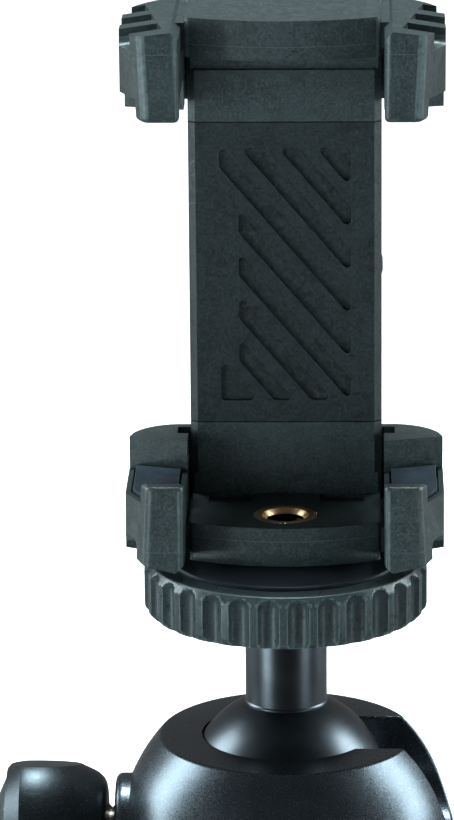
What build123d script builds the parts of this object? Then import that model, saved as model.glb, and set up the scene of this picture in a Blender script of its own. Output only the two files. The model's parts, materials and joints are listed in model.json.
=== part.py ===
"""Compact table tripod with a ball head and a sprung phone clamp.

Millimetres. The origin is on the vertical axis at floor level: X to the right, Y to the back, Z up.
The clamp faces -Y. Three legs spread from a hub, the ball head stands on the hub, and the clamp
turns on the ball's stem. The legs are retracted and spread, the ball is upright, the clamp is closed.
"""

import math
import os

from build123d import *

# Fits between pieces
turn_gap = 0.05
slide_gap = 0.2
press_gap = 0.02
seat_gap = 0.05
seam = 0.14

# Legs, measured along the leg from its hinge pin
leg_names = ("back", "left", "right")
first_leg_angle = 90.0
leg_spread = 26.0
leg_length = 150.0
pivot_radius = 19.0
leg_pin_radius = 2.0
knuckle_radius = 6.5
knuckle_width = 11.0
knuckle_gap = 0.4
neck_width = 11.0
socket_start = 8.5
socket_floor = 3.5
socket_depth = 12.5
socket_wall = 1.6
upper_tube_radius = 7.0
upper_tube_wall = 1.2
upper_tube_length = 76.0
bush_length = 10.0
collar_radius = 9.2
collar_length = 19.0
collar_overlap = 11.0
collar_flutes = 16
collar_flute_radius = 1.1
lower_tube_radius = 5.0
lower_tube_wall = 0.9
lower_tube_hidden = 62.0
stop_length = 4.0
foot_radius = 8.5
foot_neck_radius = 6.6
foot_cover = 12.0
foot_sole_drop = 7.0

# Hub
hub_radius = 25.5
hub_cap_radius = 20.0
hub_cap_height = 4.0
hub_top_web = 1.8
ear_width = 20.6
hub_core_radius = 14.0
heel_height = 5.8
heel_clearance = 0.7
stud_radius = 4.76
stud_head_radius = 7.4
stud_head_height = 3.6
bottom_cap_radius = 8.2
bottom_cap_height = 1.4
washer_radius = 17.5
washer_height = 1.5

# Ball head, heights from the ball's centre
ball_radius = 13.75
seat_clearance = 0.3
ball_above_base = 30.7
dome_radius = 23.4
dome_below_ball = 7.78
rim_above_ball = 7.77
rim_round = 0.6
skirt_height = 14.0
base_radius = 19.5
base_step = 2.4
drop_slot_width = 13.0
drop_slot_round = 0.4
cup_room_radius = 16.2
cup_room_top = 4.0
cup_wall = 1.45
cup_edge_below = 10.2
cup_seat_top = 11.5
cup_seat_web = 2.6
wave_spring_height = 2.0
wave_spring_bore = 10.0
stem_radius = 5.6
flange_radius = 5.75
flange_height = 0.9
spigot_radius = 3.0
spigot_depth = 9.3

# Lock knob, along X from the ball's centre to the left
lock_below_ball = 5.93
boss_radius = 7.3
boss_proud = 0.35
boss_root = 17.0
boss_round = 1.0
lock_screw_radius = 3.0
thrust_radius = 3.9
thrust_end = 16.6
thrust_play = 1.05
lock_bush_radius = 4.9
lock_bush_inset = 0.5
knob_gap = 1.2
knob_length = 13.9
knob_hub_radius = 5.2
knob_neck_radius = 7.1
knob_waist_radius = 8.1
knob_shoulder_radius = 9.6
knob_radius = 10.3
knob_end_radius = 8.0
knob_neck_at = 0.9
knob_waist_at = 2.7
knob_shoulder_at = 5.9
knob_widest_at = 11.8
knob_screw_depth = 8.0
knob_flats = 3
knob_flat_distance = 8.5
knob_flat_turn = 45.0
knob_flat_start = 3.4
knob_cap_radius = 7.0
knob_cap_height = 0.8
knob_cap_rise = 1.9

# Locking ring, platform disc and camera screw
stem_rise = 25.9
ring_radius = 19.4
ring_height = 7.37
ring_foot_chamfer = 0.9
ring_flutes = 30
flute_radius = 1.75
flute_offset = 0.8
flute_top_margin = 1.4
ring_socket_depth = 1.95
stem_in_ring = 0.8
disc_radius = 16.0
disc_height = 1.55
disc_proud = 0.55
screw_radius = 3.175
screw_in_stem = 8.0
screw_in_insert = 2.45

# Clamp, from the centre of the lower shelf's face
jaw_gap = 64.35
shelf_thickness = 5.36
shelf_half_width = 13.0
shelf_front = 6.85
shelf_side_front = 3.7
shelf_corner = 1.0
web_front = 3.0
web_recess = 0.9
body_half_width = 13.2
body_front = 9.7
body_split = 15.0
body_back = 20.0
body_edge = 1.0
shell_wall = 1.6
lower_column = 10.42
upper_column = 11.7
crease_height = 3.1
upper_crease_height = 4.5
crease_depth = 0.5
foot_pocket = (4.65, 10.75)
foot_pocket_front = 6.2
foot_pocket_depth = 0.8
insert_radius = 4.37
insert_chamfer = 0.65
insert_relief = 0.09
thread_minor_radius = 2.6

# Claws
claw_inner = 13.5
claw_half_width = 21.6
claw_side_front = -5.5
claw_side_back = 6.5
claw_back = 13.7
claw_back_flat = 15.2
claw_back_bulge = 1.83
lip_front = 11.8
lip_side = 18.8
lip_lean = 2.5
lip_corner = 1.3
lip_inner_corner = 0.8
lip_end_round = 0.6
lip_thickness = 2.2
lip_height = 7.3
block_front = 7.3
block_slant = 15.5
block_height = 9.0
valley_floor = 4.5
bed_floor = 3.3
bed_inset = 0.7
pocket_width = 1.5
pocket_depth = 4.0
pocket_front = 9.0
pocket_wall = 1.4
lower_claw_slope = 13.0
upper_claw_slope = 6.7
claw_slope_start = 14.6
claw_step = 0.55
claw_bevel_angle = 43.0
grip_grooves = ((15.9, -6.0), (17.0, 1.2), (18.1, 8.4))
grip_width = 4.4
grip_slant = 10.0
grip_depth = 2.2
grip_ramp = 0.8
grip_round = 1.1
pad_inset = 1.0
pad_end_gap = 0.4
pad_front_height = 1.55
pad_back_height = 1.9

# Recessed cells on the front cover
cell_left = -8.95
cell_step_left = -6.4
cell_right = 9.05
cell_low = 13.5
cell_high = 49.2
cell_count = 9
cell_step_first = 4
cell_pitch = 6.06
cell_width = 3.6
cell_slope = 49.6
cell_depth = 0.6
cell_corner = 0.6
cell_first_tip = 5.8

# Inside the mid body
rail_inner = 7.2
rail_foot = 1.5
column_floor = 1.0
tongue_half_width = 2.6
tongue_depth = 3.1
tongue_height = 10.5
spring_x = 4.4
spring_radius = 1.5
spring_foot = 13.2
ledge_height = 1.2
post_radius = 1.9
post_inset = 6.6
cover_screw_radius = 1.0
cover_screw_head_radius = 1.8
cover_screw_head = 0.9
lock_wheel_x = 3.9
lock_wheel_z = 29.8
lock_wheel_radius = 9.5
lock_wheel_height = 4.0
lock_wheel_lobes = 18
lobe_cut_radius = 0.9
lobe_cut_offset = 0.35
lock_wheel_gap = 0.3
cam_shaft_radius = 1.9
cam_radius = 2.5
cam_length = 3.0

# Places that follow from the sizes
leg_count = len(leg_names)
leg_turns = [first_leg_angle + i * 360 / leg_count for i in range(leg_count)]
pivot_z = leg_length * math.cos(math.radians(leg_spread)) + foot_sole_drop
socket_end = socket_start + socket_floor + socket_depth
upper_tube_start = socket_start + socket_floor
upper_tube_end = upper_tube_start + upper_tube_length
collar_start = upper_tube_end - collar_overlap
lower_tube_start = upper_tube_end - lower_tube_hidden
heel_back = knuckle_radius + knuckle_gap - seat_gap
slot_roof = math.hypot(heel_back, heel_height) + heel_clearance
hub_top = slot_roof + hub_top_web
base_z = pivot_z + hub_top + washer_height
ball_z = base_z + ball_above_base
boss_reach = dome_radius + boss_proud
cup_outer_radius = ball_radius + seat_gap + cup_wall
cup_seat_bottom = cup_outer_radius + seat_gap + cup_seat_web
plug_top = cup_seat_bottom + wave_spring_height
flange_z = math.sqrt(ball_radius**2 - flange_radius**2)
lock_bush_end = thrust_end + thrust_play
knob_start = boss_reach + knob_gap
ring_top = stem_rise + ring_height
stem_top = stem_rise + stem_in_ring
disc_top = ring_top + disc_proud
disc_bottom = disc_top - disc_height
jaw_bottom = disc_top + seat_gap
shelf_z = ball_z + jaw_bottom + shelf_thickness
claw_low = claw_step - shelf_thickness
side_turn = math.degrees(math.atan2(claw_half_width - lip_side, claw_side_front + lip_front))
lean_drop = (valley_floor - claw_low) * math.tan(math.radians(lip_lean))
bed_lean = lean_drop / math.cos(math.radians(side_turn))
upper_seam = jaw_gap - upper_column
inner_half_width = body_half_width - shell_wall
inner_front = body_front + shell_wall
inner_back = body_back - shell_wall
spring_y = inner_front + spring_radius + slide_gap
lower_post_z = lower_column + post_inset
upper_post_z = upper_seam - post_inset
tongue_front = inner_back - slide_gap / 2 - tongue_depth
cam_throw = rail_inner - seat_gap - cam_radius - lock_wheel_x

ON_FLOOR = (Align.CENTER, Align.CENTER, Align.MIN)


def rod(radius, low, high):
    """Round bar on the Z axis between two heights."""
    return Pos(0, 0, low) * Cylinder(radius, high - low, align=ON_FLOOR)


def block(x, y, z):
    """Box given by its low and high value on each axis."""
    middle = [(low + high) / 2 for low, high in (x, y, z)]
    return Pos(*middle) * Box(x[1] - x[0], y[1] - y[0], z[1] - z[0])


def along_x(shape):
    """Turn a shape so that its Z axis lies along X."""
    return Rot(0, 90, 0) * shape


def along_y(shape):
    """Turn a shape so that its Z axis lies along Y."""
    return Rot(-90, 0, 0) * shape


def turned(*edges):
    """Solid of revolution about Z from edges drawn as (radius, height)."""
    return revolve(Plane.XZ * make_face(Curve() + list(edges)), Axis.Z)


def bulged(start, end, bulge):
    """Arc whose middle stands out to the right of its chord by the bulge."""
    dx, dy = end[0] - start[0], end[1] - start[1]
    length = math.hypot(dx, dy)
    middle = ((start[0] + end[0]) / 2 + dy / length * bulge, (start[1] + end[1]) / 2 - dx / length * bulge)
    return ThreePointArc(start, middle, end)


def rounded(face, radius):
    """Round the outer corners of a flat face, short edges included."""
    return offset(offset(face, -radius, kind=Kind.INTERSECTION), radius)


def vertical_edges(shape, y):
    """Upright edges of a shape that lie at one depth."""
    return [edge for edge in shape.edges().filter_by(Axis.Z) if abs(edge.center().Y - y) < seat_gap]


def leaning_edges(shape, y):
    """Edges at one depth that stand nearly upright."""
    at_depth = shape.edges().filter_by(lambda edge: abs(edge.center().Y - y) < seat_gap)
    return at_depth.filter_by(lambda edge: abs((edge % 0.5).Z) > 0.9)


def hub():
    """Hub in its own frame, origin at the height of the hinge pins."""
    ear = ear_width / 2
    slot = knuckle_width / 2 + slide_gap
    arm = block((0, pivot_radius), (-ear, ear), (-knuckle_radius, hub_top))
    arm += block((pivot_radius, hub_radius), (-ear, ear), (0, hub_top))
    arm += Pos(pivot_radius, 0, 0) * along_y(rod(knuckle_radius, -ear, ear))
    arm &= rod(hub_radius, -knuckle_radius, hub_top)
    inner_wall = pivot_radius - knuckle_radius - knuckle_gap
    opening = block((inner_wall, hub_radius + 1), (-slot, slot), (-knuckle_radius - 1, slot_roof))
    opening += Pos(pivot_radius, 0, 0) * along_y(rod(leg_pin_radius + press_gap, -ear - 1, ear + 1))
    body = rod(hub_core_radius, -knuckle_radius, hub_top)
    body += rod(hub_cap_radius, hub_top - hub_cap_height, hub_top)
    for turn in leg_turns:
        body += Rot(0, 0, turn) * arm
    for turn in leg_turns:
        body -= Rot(0, 0, turn) * opening
    cap_top = -knuckle_radius + bottom_cap_height
    body -= rod(stud_radius + press_gap, -knuckle_radius, hub_top)
    body -= rod(bottom_cap_radius + press_gap, -knuckle_radius, cap_top + stud_head_height)
    return body


def hub_stud():
    """Stud that joins the hub to the ball head, in the hub's frame."""
    head_low = -knuckle_radius + bottom_cap_height
    stud = rod(stud_head_radius, head_low, head_low + stud_head_height)
    tip = hub_top + washer_height + ball_above_base - plug_top - seat_gap
    stud += rod(stud_radius, head_low + stud_head_height, tip)
    return stud


def leg_head():
    """Leg head in the leg's frame: knuckle, neck, tube socket and the heel that stops the leg."""
    half = knuckle_width / 2
    socket_radius = upper_tube_radius + socket_wall
    head = along_y(rod(knuckle_radius, -half, half))
    head += block((-neck_width / 2, neck_width / 2), (-half, half), (-upper_tube_start, 0))
    head += rod(socket_radius, -socket_end, -socket_start)
    heel = block((-heel_back, 0), (-half, half), (0, heel_height))
    head += Rot(0, leg_spread, 0) * heel
    head -= along_y(rod(leg_pin_radius + turn_gap, -half - 1, half + 1))
    head -= rod(upper_tube_radius + press_gap, -socket_end - 1, -upper_tube_start)
    return head


def upper_tube():
    """Upper tube of a leg."""
    tube = rod(upper_tube_radius, -upper_tube_end, -upper_tube_start)
    return tube - rod(upper_tube_radius - upper_tube_wall, -upper_tube_end - 1, -upper_tube_start + 1)


def glide_bush():
    """Plastic bush in the mouth of the upper tube."""
    outside = upper_tube_radius - upper_tube_wall - press_gap
    bush = rod(outside, -upper_tube_end, -upper_tube_end + bush_length)
    return bush - rod(lower_tube_radius + slide_gap, -upper_tube_end - 1, -upper_tube_end + bush_length + 1)


def twist_collar():
    """Fluted collar that locks the lower tube."""
    low = -(collar_start + collar_length)
    collar = chamfer(rod(collar_radius, low, -collar_start).edges(), collar_flute_radius / 2)
    flute = Pos(collar_radius + collar_flute_radius / 2, 0, 0) * rod(collar_flute_radius, low, -collar_start)
    for i in range(collar_flutes):
        collar -= Rot(0, 0, i * 360 / collar_flutes) * flute
    collar -= rod(lower_tube_radius + slide_gap, low - 1, -collar_start)
    collar -= rod(upper_tube_radius + turn_gap, -upper_tube_end - seat_gap, -collar_start + 1)
    return collar


def lower_tube():
    """Lower tube of a leg with its inner stop."""
    stop_radius = upper_tube_radius - upper_tube_wall - slide_gap
    tube = rod(lower_tube_radius, -leg_length, -lower_tube_start)
    tube += rod(stop_radius, -lower_tube_start - stop_length, -lower_tube_start)
    return tube - rod(lower_tube_radius - lower_tube_wall, -leg_length - 1, -lower_tube_start + 1)


def foot():
    """Rubber foot in the leg's frame, not yet cut flat at the floor."""
    shoe = Pos(0, 0, -leg_length) * Sphere(foot_radius)
    shoe += rod(foot_neck_radius, -leg_length, -leg_length + foot_cover)
    return shoe - rod(lower_tube_radius + press_gap, -leg_length, -leg_length + foot_cover + 1)


def slot_rim(body):
    """Edges of the drop slot on the outside of the dome and on its flat top."""
    half = drop_slot_width / 2
    rim = []
    for edge in body.edges():
        points = [edge @ share for share in (0, 0.5, 1)]
        on_wall = all(abs(math.hypot(v.Y, min(v.Z, 0)) - half) < seat_gap for v in points)
        reach = [math.dist((v.X, v.Y, v.Z), (0, 0, -dome_below_ball)) for v in points]
        highest = rim_above_ball - seat_gap
        outside = all(r > dome_radius - rim_round or v.Z > highest for r, v in zip(reach, points))
        if on_wall and outside and min(v.X for v in points) > 0:
            rim.append(edge)
    return rim


def housing():
    """Ball housing: dome, skirt, seat for the ball, drop slot and the boss of the lock screw."""
    centre = -dome_below_ball
    skirt = centre - skirt_height
    base = -ball_above_base
    rise = math.asin((rim_above_ball - centre) / dome_radius)
    shoulder = (dome_radius * math.cos(rise), rim_above_ball)
    on_dome = (dome_radius * math.cos(rise / 2), centre + dome_radius * math.sin(rise / 2))
    body = turned(
        Line((0, base), (base_radius, base)),
        Line((base_radius, base), (base_radius, base + base_step)),
        Line((base_radius, base + base_step), (dome_radius, skirt)),
        Line((dome_radius, skirt), (dome_radius, centre)),
        ThreePointArc((dome_radius, centre), on_dome, shoulder),
        Line(shoulder, (0, rim_above_ball)),
        Line((0, rim_above_ball), (0, base)),
    )
    body = fillet(body.edges().filter_by(GeomType.CIRCLE).group_by(Axis.Z)[-1], rim_round)
    lock = Pos(0, 0, -lock_below_ball)
    boss = rod(boss_radius, -boss_reach, -boss_root)
    body += lock * along_x(fillet(boss.edges().group_by(Axis.Z)[0], boss_round))
    seat = ball_radius + seat_clearance
    body -= Sphere(seat) + rod(seat, -cup_room_top, 0)
    body -= rod(cup_room_radius, base - 1, -cup_room_top)
    half_slot = drop_slot_width / 2
    body -= block((0, dome_radius + 1), (-half_slot, half_slot), (0, rim_above_ball + 1))
    body -= along_x(rod(half_slot, 0, dome_radius + 1))
    body = fillet(slot_rim(body), drop_slot_round)
    body -= lock * along_x(rod(thrust_radius + slide_gap / 2, -boss_reach, 0))
    body -= lock * along_x(rod(lock_bush_radius + press_gap, -boss_reach - 1, -lock_bush_end))
    return body


def base_plug():
    """Threaded plug that closes the housing from below."""
    plug = rod(cup_room_radius - press_gap, -ball_above_base, -plug_top)
    return plug - rod(stud_radius + press_gap, -ball_above_base - 1, -plug_top + 1)


def wave_spring():
    """Washer spring under the cup seat."""
    ring = rod(cup_room_radius - slide_gap, -plug_top, -cup_seat_bottom)
    return ring - rod(wave_spring_bore, -plug_top - 1, -cup_seat_bottom + 1)


def cup_seat():
    """Seat that the ball cup rests in."""
    seat = rod(cup_room_radius - slide_gap / 2, -cup_seat_bottom, -cup_seat_top)
    return seat - Sphere(cup_outer_radius + seat_gap)


def ball_cup():
    """Bowl under the ball."""
    bowl = Sphere(cup_outer_radius) & rod(cup_outer_radius, -cup_outer_radius, -cup_edge_below)
    return bowl - Sphere(ball_radius + seat_gap)


def ball():
    """Ball with a flat and a bore for the stem."""
    sphere = Sphere(ball_radius) & rod(ball_radius + 1, -ball_radius - 1, flange_z)
    return sphere - rod(spigot_radius + press_gap, flange_z - spigot_depth - press_gap, flange_z + 1)


def stem():
    """Stem with its flange, its spigot in the ball and the bore for the camera screw."""
    bar = rod(spigot_radius, flange_z - spigot_depth, flange_z)
    bar += rod(flange_radius, flange_z, flange_z + flange_height)
    bar += rod(stem_radius, flange_z + flange_height, stem_top)
    return bar - rod(screw_radius + press_gap, stem_top - screw_in_stem, stem_top + 1)


def camera_screw():
    """Quarter-inch stud that carries the clamp."""
    return rod(screw_radius, stem_top - screw_in_stem, jaw_bottom + screw_in_insert)


def locking_ring():
    """Fluted ring that turns on the camera screw."""
    ring = rod(ring_radius, stem_rise, ring_top)
    ring = chamfer(ring.edges().group_by(Axis.Z)[0], ring_foot_chamfer)
    flute_top = ring_top - flute_top_margin - flute_radius
    at = Pos(ring_radius + flute_offset, 0, 0)
    groove = at * rod(flute_radius, stem_rise - 1, flute_top)
    groove += at * Pos(0, 0, flute_top) * Sphere(flute_radius)
    for i in range(ring_flutes):
        ring -= Rot(0, 0, i * 360 / ring_flutes) * groove
    ring -= rod(disc_radius + turn_gap, disc_bottom - seat_gap, ring_top + 1)
    ring -= rod(screw_radius + turn_gap, stem_rise - 1, ring_top)
    ring -= rod(flange_radius + slide_gap, stem_rise - 1, stem_rise + ring_socket_depth)
    return ring


def platform_disc():
    """Smooth rubber-faced disc that the clamp is clamped against."""
    disc = fillet(rod(disc_radius, disc_bottom, disc_top).edges().group_by(Axis.Z)[-1], disc_proud / 2)
    return disc - rod(screw_radius + slide_gap, disc_bottom - 1, disc_top + 1)


def on_lock(shape):
    """Place a shape drawn along Z on the lock screw's axis, its +Z end pointing at the ball."""
    return Pos(0, 0, -lock_below_ball) * along_x(shape)


def lock_bush():
    """Threaded bush in the housing's boss."""
    bush = rod(lock_bush_radius, -boss_reach + lock_bush_inset, -lock_bush_end)
    return on_lock(bush - rod(lock_screw_radius + turn_gap, -boss_reach, 0))


def thrust_pad():
    """Pad that the lock screw presses against the ball."""
    pad = on_lock(rod(thrust_radius, -thrust_end, 0))
    return pad - Sphere(ball_radius + seat_gap)


def lock_screw():
    """Threaded shaft of the lock knob."""
    return on_lock(rod(lock_screw_radius, -knob_start - knob_screw_depth, -thrust_end - seat_gap))


def lock_knob():
    """Waisted knob with three flats and a capped end."""
    start, end = -knob_start, -knob_start - knob_length
    widest = (knob_radius, start - knob_widest_at)
    side = Spline(
        (knob_hub_radius, start),
        (knob_neck_radius, start - knob_neck_at),
        (knob_waist_radius, start - knob_waist_at),
        (knob_shoulder_radius, start - knob_shoulder_at),
        widest,
    )
    body = turned(
        Line((0, start), (knob_hub_radius, start)),
        side,
        Line(widest, (knob_end_radius, end)),
        Line((knob_end_radius, end), (0, end)),
        Line((0, end), (0, start)),
    )
    flat_z = (end - 1, start - knob_flat_start)
    flat = block((knob_flat_distance, knob_radius * 2), (-knob_radius, knob_radius), flat_z)
    for i in range(knob_flats):
        body -= Rot(0, 0, knob_flat_turn + i * 360 / knob_flats) * flat
    body -= rod(lock_screw_radius + press_gap, start - knob_screw_depth - press_gap, start + 1)
    body -= rod(knob_cap_radius + press_gap, end - 1, end + knob_cap_height)
    return on_lock(body)


def knob_cap():
    """Domed cap pressed into the knob's end."""
    end = -knob_start - knob_length
    inner = end + knob_cap_height
    half_angle = math.atan(knob_cap_rise / knob_cap_radius)
    dome_size = knob_cap_radius / math.sin(2 * half_angle)
    dome = RadiusArc((knob_cap_radius, end), (0, end - knob_cap_rise), dome_size)
    return on_lock(
        turned(
            Line((0, inner), (knob_cap_radius, inner)),
            Line((knob_cap_radius, inner), (knob_cap_radius, end)),
            dome,
            Line((0, end - knob_cap_rise), (0, inner)),
        )
    )


def claw_face(lean=0.0):
    """Outline of a claw seen from above, right-hand side; its slanted side can be moved inwards."""
    front, back, side = -lip_front, claw_back, claw_half_width
    at_lip = (lip_side - lean, front)
    at_side = (side, claw_side_front + lean / math.tan(math.radians(side_turn)))
    return make_face(
        Curve()
        + [
            Line((claw_inner, back), (claw_inner, front)),
            Line((claw_inner, front), at_lip),
            Line(at_lip, at_side),
            Line(at_side, (side, claw_side_back)),
            bulged((side, claw_side_back), (claw_back_flat, back), claw_back_bulge),
            Line((claw_back_flat, back), (claw_inner, back)),
        ]
    )


def behind_block_face(gap=0.0):
    """Everything behind the slanted front face of the claw's back block, or a gap before it."""
    reach = claw_half_width * 2
    space = Box(reach, reach, reach * 2, align=(Align.MAX, Align.MIN, Align.CENTER))
    return Pos(claw_half_width, block_front - gap, 0) * Rot(0, 0, block_slant) * space


def grip_groove(inner_end, y, slope):
    """Cutter of one grip groove along the claw's sloping underside, with a round floor."""
    profile = Polyline(
        (0, -1), (grip_ramp, grip_depth), (claw_half_width, grip_depth), (claw_half_width, -1), close=True
    )
    cutter = extrude(Plane.XZ * make_face(profile), grip_width / 2, both=True)
    floor_edges = cutter.edges().filter_by(Axis.X).group_by(Axis.Z)[-1]
    cutter = fillet(floor_edges, grip_round)
    surface = claw_low + (inner_end - claw_slope_start) * math.tan(math.radians(slope))
    return Pos(inner_end, y, surface) * Rot(0, 0, -grip_slant) * Rot(0, -slope, 0) * cutter


def claw(slope):
    """Claw on the right of the lower jaw: front lip, valley, back block and grip grooves."""
    low = claw_low
    body = extrude(Pos(0, 0, low) * claw_face(), block_height - low)
    far = claw_half_width + 1
    lip_back = -lip_front + lip_thickness
    outside = Box(far, far * 3, far * 2, align=(Align.MIN, Align.CENTER, Align.CENTER))
    body -= Pos(lip_side, -lip_front, low) * Rot(0, 0, -side_turn) * Rot(0, -lip_lean, 0) * outside
    body = fillet(leaning_edges(body, -lip_front).sort_by(Axis.X)[0], lip_inner_corner)
    body = fillet(leaning_edges(body, -lip_front).sort_by(Axis.X)[-1], lip_corner)
    body -= block((0, far), (-lip_front - 1, lip_back), (lip_height, block_height + 1))
    body -= block((0, far), (lip_back, claw_back), (valley_floor, block_height + 1)) - behind_block_face()
    lip_end = [e for e in body.edges() if abs(e.center().Z - lip_height) < seat_gap]
    body = fillet(lip_end, lip_end_round)
    bed = extrude(Pos(0, 0, bed_floor) * offset(claw_face(bed_lean), -bed_inset), valley_floor - bed_floor)
    body -= bed - behind_block_face() - block((0, far), (-far, lip_back), (bed_floor, valley_floor))
    pocket_side = claw_inner + pocket_width
    pocket_floor = block_height - pocket_depth
    body -= block((0, pocket_side), (pocket_front, claw_back - pocket_wall), (pocket_floor, block_height + 1))
    under = Box(far, far * 3, far, align=(Align.MIN, Align.CENTER, Align.MAX))
    body -= Pos(claw_slope_start, 0, low) * Rot(0, -slope, 0) * under
    bevel = Box(far, far * 3, far, align=(Align.MAX, Align.CENTER, Align.MAX))
    body -= Pos(claw_slope_start, 0, low) * Rot(0, claw_bevel_angle, 0) * bevel
    for inner_end, y in grip_grooves:
        body -= grip_groove(inner_end, y, slope)
    return body


def claw_pad():
    """Rubber wedge in the bed of the lower right claw."""
    low, front = bed_floor, -lip_front + lip_thickness + pad_end_gap
    inside = extrude(Pos(0, 0, low) * offset(claw_face(bed_lean), -pad_inset), pad_back_height)
    wedge = Polyline(
        (front, low),
        (block_front, low),
        (block_front, low + pad_back_height),
        (front, low + pad_front_height),
        close=True,
    )
    prism = extrude(Plane.YZ * make_face(wedge), claw_half_width)
    return (prism & inside) - behind_block_face(pad_end_gap)


def both_sides(shape):
    """A shape on the right and its mirror image on the left."""
    return [shape, mirror(shape, Plane.YZ)]


def as_upper(shape):
    """Mirror a lower-jaw shape to the upper jaw."""
    return Pos(0, 0, jaw_gap) * mirror(shape, Plane.XY)


def jaw_base(claw_slope):
    """What both jaws share: shelf, webs and claws, with the shelf's face at height zero."""
    side, low = shelf_half_width, -shelf_thickness
    outline = make_face(
        Curve()
        + [
            ThreePointArc((-side, -shelf_side_front), (0, -shelf_front), (side, -shelf_side_front)),
            Line((side, -shelf_side_front), (side, inner_front)),
            Line((side, inner_front), (-side, inner_front)),
            Line((-side, inner_front), (-side, -shelf_side_front)),
        ]
    )
    base = extrude(Pos(0, 0, low) * outline, shelf_thickness)
    base = fillet(vertical_edges(base, -shelf_side_front), shelf_corner)
    web_side = claw_inner + pocket_width
    web = block((inner_half_width, web_side), (-web_front, claw_back), (low + web_recess, -web_recess))
    back_wall = (claw_back - pocket_wall, claw_back)
    web += block((inner_half_width, web_side), back_wall, (-web_recess, block_height))
    for piece in both_sides(web) + both_sides(claw(claw_slope)):
        base += piece
    return base


def column(low, high):
    """Outer block of the body between two heights, with its upright edges cut off."""
    body = block((-body_half_width, body_half_width), (body_front, body_back), (low, high))
    return chamfer(vertical_edges(body, body_front) + vertical_edges(body, body_back), body_edge)


def crease(low, high):
    """Shallow step across the foot of a column."""
    side = body_half_width + 1
    return block((-side, side), (body_front - 1, body_front + crease_depth), (low, high))


def room(low, high):
    """Hollow inside the body, where the rails and springs run."""
    return block((-inner_half_width, inner_half_width), (inner_front, inner_back), (low, high))


def lower_jaw():
    """Fixed jaw with the hollow foot of the column and the tongue that holds the covers."""
    top = lower_column - seam / 2
    jaw = jaw_base(lower_claw_slope) + column(-shelf_thickness, top)
    jaw -= room(column_floor, top + 1)
    jaw -= crease(0, crease_height)
    pocket = block(foot_pocket, (foot_pocket_front, body_front + crease_depth), (-foot_pocket_depth, 1))
    for piece in both_sides(pocket):
        jaw -= piece
    tongue_back = tongue_front + tongue_depth
    half = tongue_half_width
    jaw += block((-half, half), (tongue_front, tongue_back), (0, lower_column + tongue_height))
    jaw -= Pos(0, 0, lower_post_z) * along_y(rod(cover_screw_radius + slide_gap, inner_front, body_back))
    jaw -= rod(insert_radius + press_gap, -shelf_thickness - 1, 1)
    return jaw


def upper_jaw():
    """Sliding jaw with the two rails that run in the body."""
    low, top = upper_seam + seam / 2, jaw_gap + shelf_thickness
    jaw = as_upper(jaw_base(upper_claw_slope)) + column(low, top)
    jaw -= crease(jaw_gap - upper_crease_height, jaw_gap)
    rail_y = (inner_front + slide_gap, inner_back - slide_gap)
    rail = block((rail_inner, inner_half_width - slide_gap), rail_y, (rail_foot, top - 1))
    for piece in both_sides(rail):
        jaw += piece
    return jaw


def thread_insert():
    """Brass insert: the stud's stretch below, the free threaded stretch above at its crests."""
    insert = rod(insert_radius, -shelf_thickness, 0)
    insert -= rod(thread_minor_radius, -shelf_thickness - 1, 1)
    screw_end = -shelf_thickness + screw_in_insert + seat_gap
    insert -= rod(screw_radius + insert_relief, -shelf_thickness - 1, screw_end)
    mouth = [edge for edge in insert.edges().group_by(Axis.Z)[-1] if edge.radius < insert_radius]
    return chamfer(mouth, insert_chamfer)


def cell(i):
    """Outline of one recessed cell in the XZ plane: a slanted band cut off at the panel's edges."""
    slope = math.tan(math.radians(cell_slope))
    tip = cell_high - cell_first_tip - i * cell_pitch
    last = cell_count - 1
    left = cell_step_left if cell_step_first <= i < last else cell_left
    rise = (cell_right - left) * slope
    below = tip - (cell_pitch if i == last else 0)
    above = tip + cell_width + (cell_pitch if i == 0 else 0)
    corners = [(cell_right, below), (cell_right, above), (left, above + rise), (left, below + rise)]
    band = Polyline(*corners, close=True)
    panel = Rectangle(cell_right - left, cell_high - cell_low)
    panel = Pos((left + cell_right) / 2, (cell_low + cell_high) / 2) * panel
    return make_face(band) & panel


def front_cover():
    """Front half of the body with its recessed cells, screw posts and spring ledges."""
    low, high = lower_column + seam / 2, upper_seam - seam / 2
    front_half = block((-body_half_width, body_half_width), (0, body_split - seam / 2), (low, high))
    cover = column(low, high) & front_half
    cover -= room(low - 1, high + 1)
    for post_z, back in ((lower_post_z, tongue_front), (upper_post_z, inner_back)):
        post = rod(post_radius, inner_front, back - seat_gap)
        post -= rod(cover_screw_radius + press_gap, inner_front, back)
        cover += Pos(0, 0, post_z) * along_y(post)
    ledge_back = spring_y + spring_radius
    ledge = (spring_x - spring_radius, spring_x + spring_radius)
    ledge_z = (spring_foot - ledge_height, spring_foot)
    for piece in both_sides(block(ledge, (inner_front, ledge_back), ledge_z)):
        cover += piece
    for i in range(cell_count):
        cover -= extrude(Plane.XZ.offset(-body_front) * rounded(cell(i), cell_corner), -cell_depth)
    return cover


def back_cover():
    """Rear half of the body with its screw holes and the bearing of the lock wheel."""
    low, high = lower_column + seam / 2, upper_seam - seam / 2
    span = (-body_half_width, body_half_width)
    cover = column(low, high) & block(span, (body_split + seam / 2, body_back), (low, high))
    cover -= room(low - 1, high + 1)
    for post_z in (lower_post_z, upper_post_z):
        hole = rod(cover_screw_radius + slide_gap, inner_back - 1, body_back)
        hole += rod(cover_screw_head_radius + slide_gap, body_back - cover_screw_head, body_back + 1)
        cover -= Pos(0, 0, post_z) * along_y(hole)
    bearing = rod(cam_shaft_radius + turn_gap, inner_back - 1, body_back + 1)
    return cover - Pos(lock_wheel_x, 0, lock_wheel_z) * along_y(bearing)


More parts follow.
